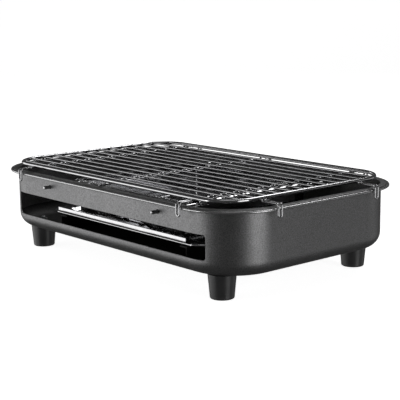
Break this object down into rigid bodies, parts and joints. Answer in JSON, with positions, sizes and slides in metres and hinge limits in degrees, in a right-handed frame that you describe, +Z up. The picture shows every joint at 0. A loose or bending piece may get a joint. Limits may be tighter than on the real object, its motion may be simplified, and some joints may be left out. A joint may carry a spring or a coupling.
{
  "type": "hibachi grill",
  "caption": "Low tabletop charcoal grill: flanged steel body on tapered feet, with a lift-off wire grate, a hung charcoal box and an ash tray that slides out of a slot in the front wall.",
  "frame": {"origin": "on the surface the grill stands on, midway between the feet", "axes": "+X along the long side; -Y is the front, where the ash tray is pulled out; +Z up"},
  "size_m": [0.3548, 0.2268, 0.0851],
  "materials": {
    "body_coat": "satin",
    "foot": "satin",
    "zinc": "satin",
    "wire": "polished",
    "rail": "satin",
    "bright_steel": "polished"
  },
  "bodies": {
    "body": {"body_shell": "body_coat", "foot_front_left": "foot", "foot_front_right": "foot", "foot_rear_left": "foot", "foot_rear_right": "foot", "foot_screw_front_left": "zinc", "foot_screw_front_right": "zinc", "foot_screw_rear_left": "zinc", "foot_screw_rear_right": "zinc", "foot_washer_front_left": "zinc", "foot_washer_front_right": "zinc", "foot_washer_rear_left": "zinc", "foot_washer_rear_right": "zinc", "foot_nut_front_left": "zinc", "foot_nut_front_right": "zinc", "foot_nut_rear_left": "zinc", "foot_nut_rear_right": "zinc", "cross_rod_left": "wire", "cross_rod_right": "wire", "rod_clip_front_left": "zinc", "rod_clip_front_right": "zinc", "rod_clip_rear_left": "zinc", "rod_clip_rear_right": "zinc", "tray_rail_left": "rail", "tray_rail_right": "rail"},
    "charcoal_box": {"charcoal_box": "bright_steel", "charcoal_box_hanger_left": "bright_steel", "charcoal_box_hanger_right": "bright_steel"},
    "ash_tray": {"ash_tray": "bright_steel", "ash_tray_pull": "bright_steel"},
    "grate": {"grate_frame": "wire", "grate_wire_01": "wire", "grate_wire_02": "wire", "grate_wire_03": "wire", "grate_wire_04": "wire", "grate_wire_05": "wire", "grate_wire_06": "wire", "grate_wire_07": "wire", "grate_wire_08": "wire", "grate_wire_09": "wire", "grate_wire_10": "wire", "grate_wire_11": "wire", "grate_wire_12": "wire", "grate_wire_13": "wire", "grate_wire_14": "wire", "grate_cross_wire_left": "wire", "grate_cross_wire_middle": "wire", "grate_cross_wire_right": "wire", "grate_hook_front_1": "wire", "grate_hook_front_2": "wire", "grate_hook_rear_1": "wire", "grate_hook_rear_2": "wire", "grate_hook_left_1": "wire", "grate_hook_left_2": "wire", "grate_hook_right_1": "wire", "grate_hook_right_2": "wire"}
  },
  "joints": [
    {"name": "grate_lift", "type": "slide", "parent": "body", "child": "grate", "axis": [0, 0, 1], "range_m": [0, 0.12]},
    {"name": "charcoal_box_lift", "type": "slide", "parent": "body", "child": "charcoal_box", "axis": [0, 0, 1], "range_m": [0, 0.06]},
    {"name": "ash_tray_slide", "type": "slide", "parent": "body", "child": "ash_tray", "axis": [0, -1, 0], "range_m": [0, 0.2]}
  ],
  "couplings": [
    {"joint": "charcoal_box_lift", "follows": "grate_lift", "ratio": 0.5}
  ]
}
